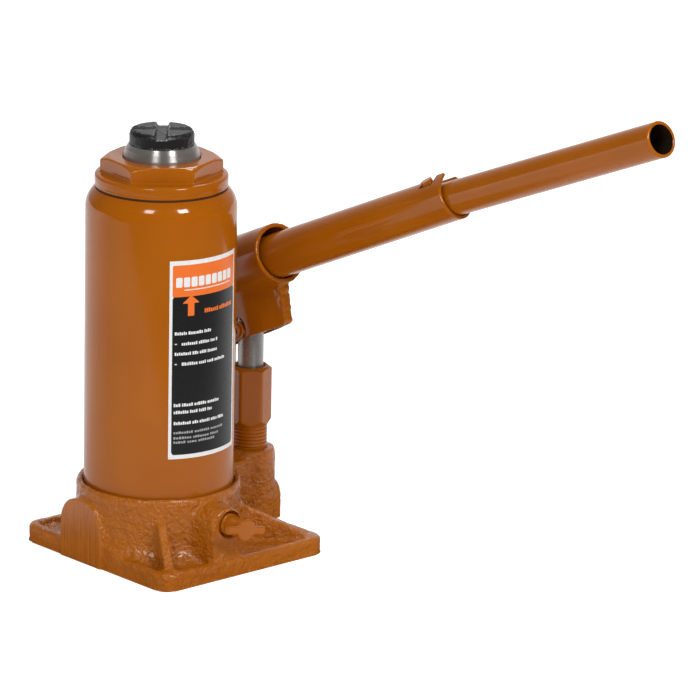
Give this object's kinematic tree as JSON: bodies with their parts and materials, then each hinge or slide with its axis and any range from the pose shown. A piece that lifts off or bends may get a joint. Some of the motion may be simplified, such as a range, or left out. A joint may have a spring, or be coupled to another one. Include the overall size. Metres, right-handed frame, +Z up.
{
  "type": "bottle jack",
  "caption": "Hydraulic bottle jack: cast square base, painted reservoir, stepped ram with screw saddle, side hand pump and a two-piece tube lever in a folded socket.",
  "frame": {"origin": "ram axis at the underside of the base", "axes": "+Z up along the ram; the lever and the release valve point to -Y; the hand pump stands on the +X side"},
  "size_m": [0.125, 0.3387, 0.2629],
  "materials": {
    "cast_paint": "orange gloss paint over rough casting",
    "gloss_paint": "orange gloss paint",
    "lever_paint": "orange gloss paint",
    "machined_steel": "turned",
    "black_iron": "black oxide",
    "seal_rubber": "matt",
    "nylon": "natural",
    "copper": "soft copper",
    "bright_steel": "polished",
    "label_print": "satin printed film"
  },
  "bodies": {
    "base": {"base_casting": "cast_paint", "reservoir": "gloss_paint", "reservoir_bottom_seal": "seal_rubber", "reservoir_top_seal": "seal_rubber", "pressure_cylinder": "machined_steel", "cylinder_gasket": "copper", "top_nut": "gloss_paint", "ram_wiper": "seal_rubber", "label": "label_print", "filler_plug": "seal_rubber", "pump_cylinder": "cast_paint", "pump_washer": "copper", "anchor_pin": "lever_paint", "anchor_pin_clips": "lever_paint", "outlet_spring": "bright_steel", "outlet_retainer": "machined_steel", "overload_ball": "bright_steel", "overload_spring": "bright_steel", "overload_screw": "machined_steel", "inlet_passage_plug": "gloss_paint", "outlet_passage_plug": "gloss_paint", "release_ball": "bright_steel"},
    "ram": {"ram": "machined_steel", "ram_piston": "machined_steel", "piston_cup": "seal_rubber", "piston_backup_ring": "nylon"},
    "screw_carrier": {"screw_stop_ring": "machined_steel"},
    "extension_screw": {"extension_screw": "machined_steel", "saddle": "black_iron"},
    "plunger": {"plunger": "machined_steel", "plunger_o_ring": "seal_rubber", "plunger_backup_ring": "nylon", "plunger_pin": "lever_paint", "plunger_pin_clips": "lever_paint"},
    "link": {"link_plates": "lever_paint"},
    "socket": {"handle_socket": "lever_paint", "fulcrum_pin": "lever_paint", "fulcrum_pin_clips": "lever_paint"},
    "handle_lower": {"handle_lower_tube": "lever_paint"},
    "handle_upper": {"handle_upper_tube": "lever_paint", "handle_peg": "lever_paint"},
    "release_valve": {"release_valve": "gloss_paint", "release_o_ring": "seal_rubber"},
    "inlet_ball": {"inlet_ball": "bright_steel"},
    "outlet_ball": {"outlet_ball": "bright_steel"}
  },
  "joints": [
    {"name": "ram_lift", "type": "slide", "parent": "base", "child": "ram", "axis": [0, 0, 1], "range_m": [0, 0.125]},
    {"name": "screw_rise", "type": "slide", "parent": "ram", "child": "screw_carrier", "axis": [0, 0, 1], "range_m": [0, 0.064]},
    {"name": "screw_turn", "type": "hinge", "parent": "screw_carrier", "child": "extension_screw", "pos_m": [0, 0, 0.2], "axis": [0, 0, 1], "range_deg": [0, 5764]},
    {"name": "link_sway", "type": "hinge", "parent": "base", "child": "link", "pos_m": [0.067, 0.03374, 0.0182], "axis": [-1, 0, 0], "range_deg": [-4, 4]},
    {"name": "handle_pump", "type": "hinge", "parent": "link", "child": "socket", "pos_m": [0.067, 0.03374, 0.09055], "axis": [-1, 0, 0], "range_deg": [-28, 18]},
    {"name": "plunger_stroke", "type": "slide", "parent": "base", "child": "plunger", "axis": [0, 0, 1], "range_m": [-0.0125, 0.008]},
    {"name": "handle_pull_out", "type": "slide", "parent": "socket", "child": "handle_lower", "axis": [0, -0.9143, 0.4051], "range_m": [0, 0.05]},
    {"name": "handle_twist", "type": "hinge", "parent": "handle_lower", "child": "handle_upper", "pos_m": [0.067, -0.11582, 0.18943], "axis": [0, 0.9252, -0.3795], "range_deg": [0, 34]},
    {"name": "release_valve_turn", "type": "hinge", "parent": "base", "child": "release_valve", "pos_m": [0.0018, -0.053, 0.0262], "axis": [0, -1, 0], "range_deg": [0, 540]},
    {"name": "inlet_ball_lift", "type": "slide", "parent": "base", "child": "inlet_ball", "axis": [0, 0, 1], "range_m": [0, 0.0015]},
    {"name": "outlet_ball_lift", "type": "slide", "parent": "base", "child": "outlet_ball", "axis": [0, 0, 1], "range_m": [0, 0.0015], "deforming": ["outlet_spring"]}
  ],
  "couplings": [
    {"joint": "screw_turn", "follows": "screw_rise", "rad_per_m": 1570.8},
    {"joint": "link_sway", "follows": "handle_pump", "ratio": -0.11},
    {"joint": "plunger_stroke", "follows": "handle_pump", "m_per_rad": 0.0235}
  ]
}
